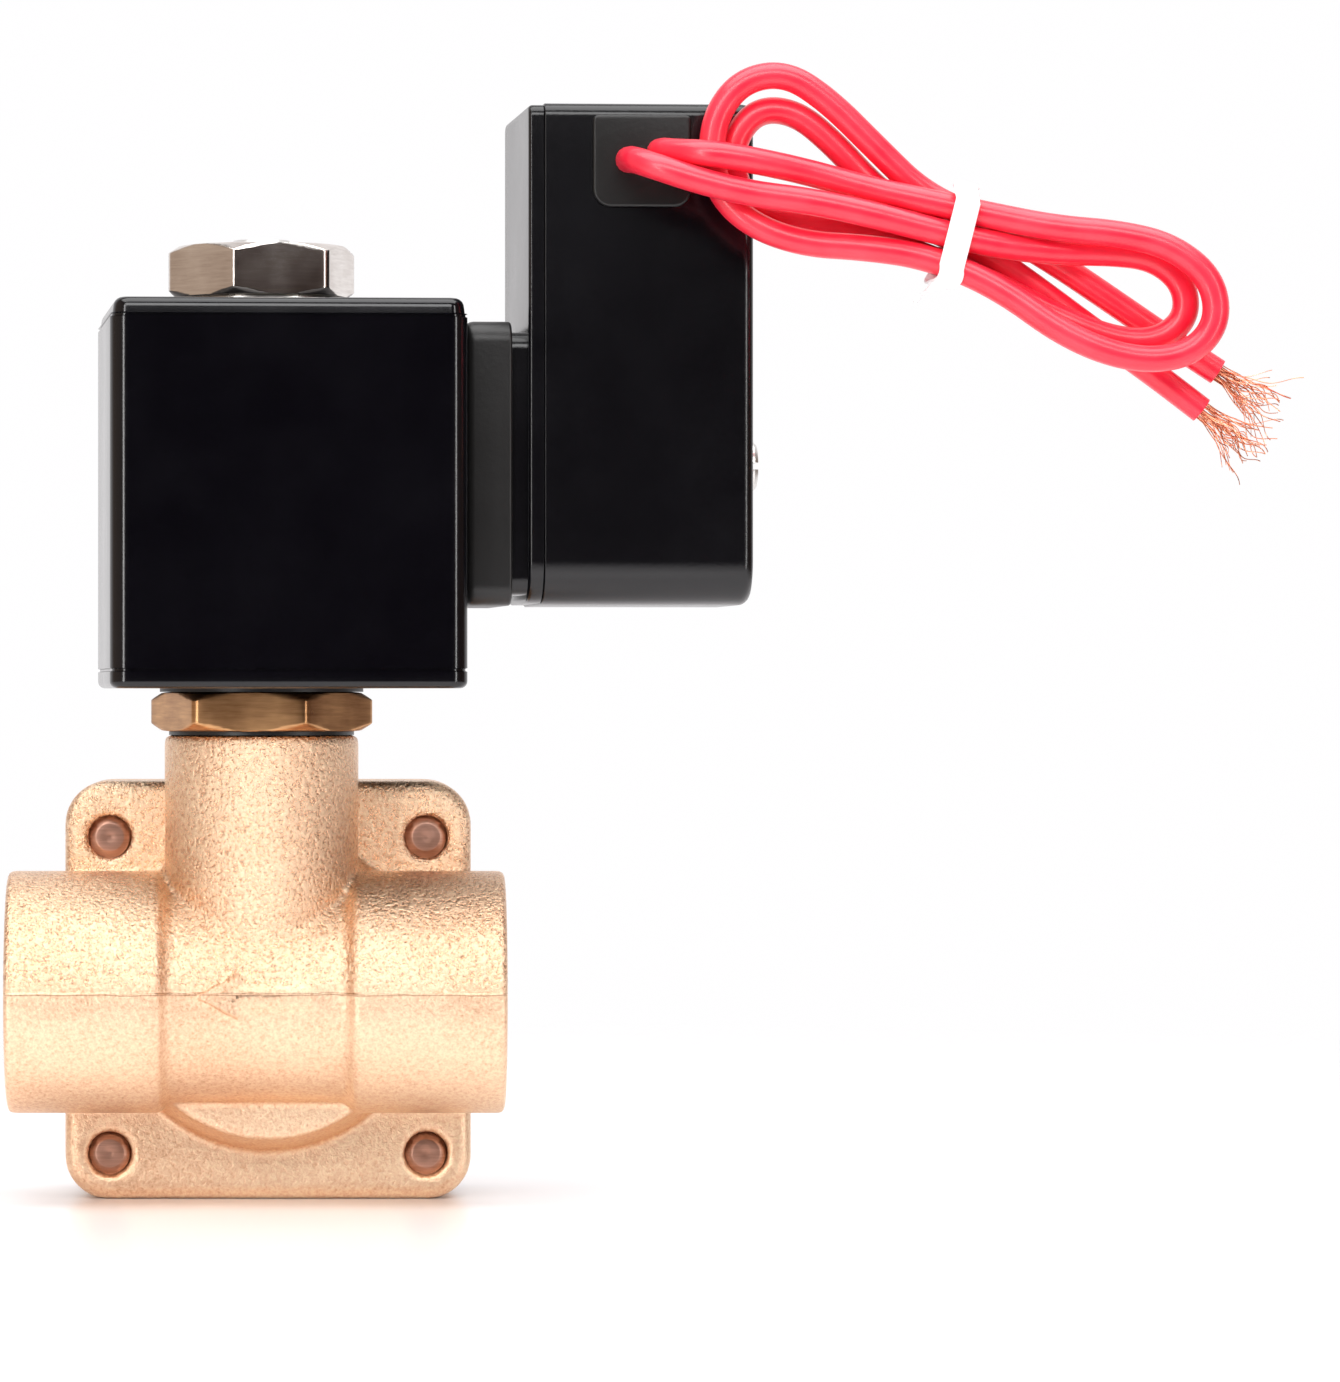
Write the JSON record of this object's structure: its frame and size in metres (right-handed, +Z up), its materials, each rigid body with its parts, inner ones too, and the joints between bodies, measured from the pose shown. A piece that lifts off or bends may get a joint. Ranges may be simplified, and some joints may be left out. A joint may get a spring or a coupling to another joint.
{
  "type": "solenoid valve",
  "caption": "Pilot-operated brass solenoid valve with threaded ports, a square flanged diaphragm cover, a black coil, a tall connector box and two red leads.",
  "frame": {"origin": "on the flange's bottom face, under the stem axis, half-way through the flange's thickness", "axes": "+X along the pipe towards the inlet, +Y from the front of the body towards the diaphragm cover, +Z up the stem"},
  "size_m": [0.1442, 0.0476, 0.1287],
  "materials": {
    "cast_brass": "bead-blasted",
    "turned_brass": "turned",
    "steel": "zinc plated",
    "stainless": "turned",
    "nickel": "nickel plated",
    "yoke_steel": "black",
    "coil_plastic": "semi-gloss",
    "box_plastic": "satin",
    "gasket_rubber": "matt",
    "seal_rubber": "smooth",
    "nylon": "natural",
    "copper": "enamelled",
    "tinned": "tinned",
    "lead_silicone": "glossy silicone",
    "tie_plastic": "white",
    "strands": "bare stranded copper"
  },
  "bodies": {
    "root": {"valve_body": "cast_brass", "diaphragm_cover": "cast_brass", "cover_screws": "steel", "spring_washers": "steel", "diaphragm": "seal_rubber", "diaphragm_spring": "stainless", "duct_seal": "seal_rubber", "pilot_seat": "turned_brass", "tube_base": "turned_brass", "base_seal": "seal_rubber", "armature_tube": "stainless", "fixed_core": "stainless", "shading_ring": "copper", "plunger_spring": "stainless", "nut_washer": "steel", "top_nut": "nickel"},
    "main_disc": {"seal_holder": "turned_brass", "main_seal": "seal_rubber", "diaphragm_plate": "stainless"},
    "armature": {"plunger": "stainless", "plunger_seal": "seal_rubber"},
    "coil": {"coil_housing": "coil_plastic", "coil_yoke": "yoke_steel", "bobbin": "nylon", "winding": "copper", "coil_seal": "gasket_rubber", "coil_terminals": "tinned", "connector_gasket": "gasket_rubber", "connector_base": "box_plastic", "connector_cover": "box_plastic", "lead_plate": "gasket_rubber", "terminal_block": "nylon", "contacts": "turned_brass", "terminal_screws": "steel", "connector_screw": "steel", "lead_a": "lead_silicone", "lead_b": "lead_silicone", "lead_tie": "tie_plastic", "strands_a": "strands", "strands_b": "strands"}
  },
  "joints": [
    {"name": "plunger_slide", "type": "slide", "parent": "root", "child": "armature", "axis": [0, 0, 1], "range_m": [0, 0.002], "stiffness_N_per_m": 150, "springref_m": -0.004, "deforming": ["plunger_spring"]},
    {"name": "diaphragm_lift", "type": "slide", "parent": "root", "child": "main_disc", "axis": [0, 1, 0], "range_m": [0, 0.003], "stiffness_N_per_m": 400, "springref_m": -0.003, "deforming": ["diaphragm_spring", "diaphragm"]},
    {"name": "coil_swivel", "type": "hinge", "parent": "root", "child": "coil", "pos_m": [0, -0.0095, 0.08], "axis": [0, 0, 1], "continuous": true}
  ]
}
